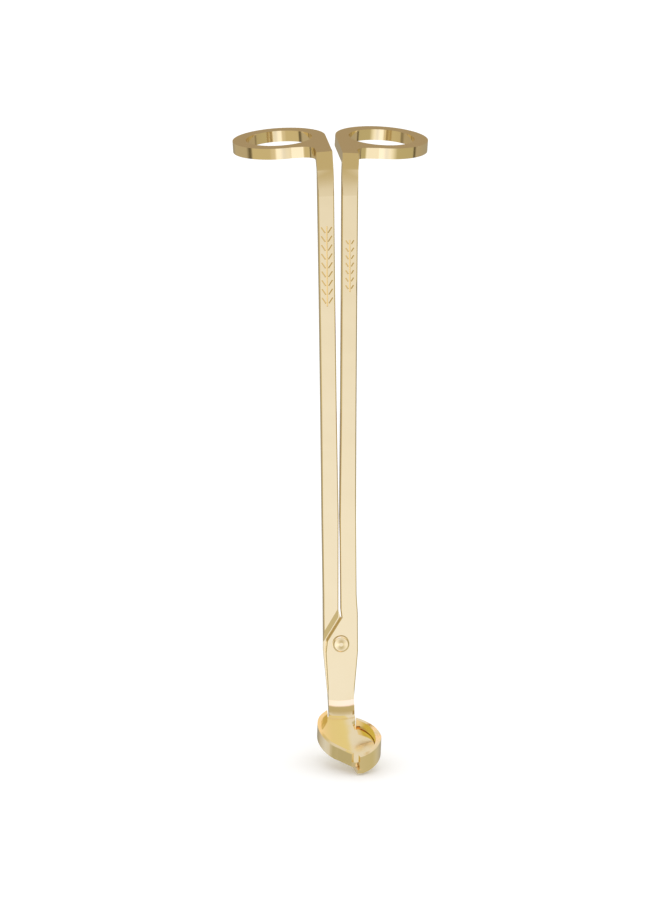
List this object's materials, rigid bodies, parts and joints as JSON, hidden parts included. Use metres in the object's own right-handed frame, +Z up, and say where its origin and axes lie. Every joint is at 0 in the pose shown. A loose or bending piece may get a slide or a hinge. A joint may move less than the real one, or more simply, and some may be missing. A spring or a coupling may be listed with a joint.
{
  "type": "wick trimmer",
  "caption": "Long scissors with upright shanks, finger rings bent back, and a forward-sloping debris tray whose halves cut a candle wick.",
  "frame": {"origin": "centre of the closed tool's bounding box", "axes": "+Z up the shanks towards the finger rings, +X to the right seen from the tray side, -Y towards the tray, +Y the way the rings are bent"},
  "size_m": [0.0566, 0.0609, 0.1802],
  "materials": {
    "gold_plate": "polished"
  },
  "bodies": {
    "rear": {"rear_lever": "gold_plate", "pivot_rivet": "gold_plate"},
    "front": {"front_lever": "gold_plate"}
  },
  "joints": [
    {"name": "scissor", "type": "hinge", "parent": "rear", "child": "front", "pos_m": [0, -0.0044, -0.0573], "axis": [0, 1, 0], "range_deg": [0, 33]}
  ]
}
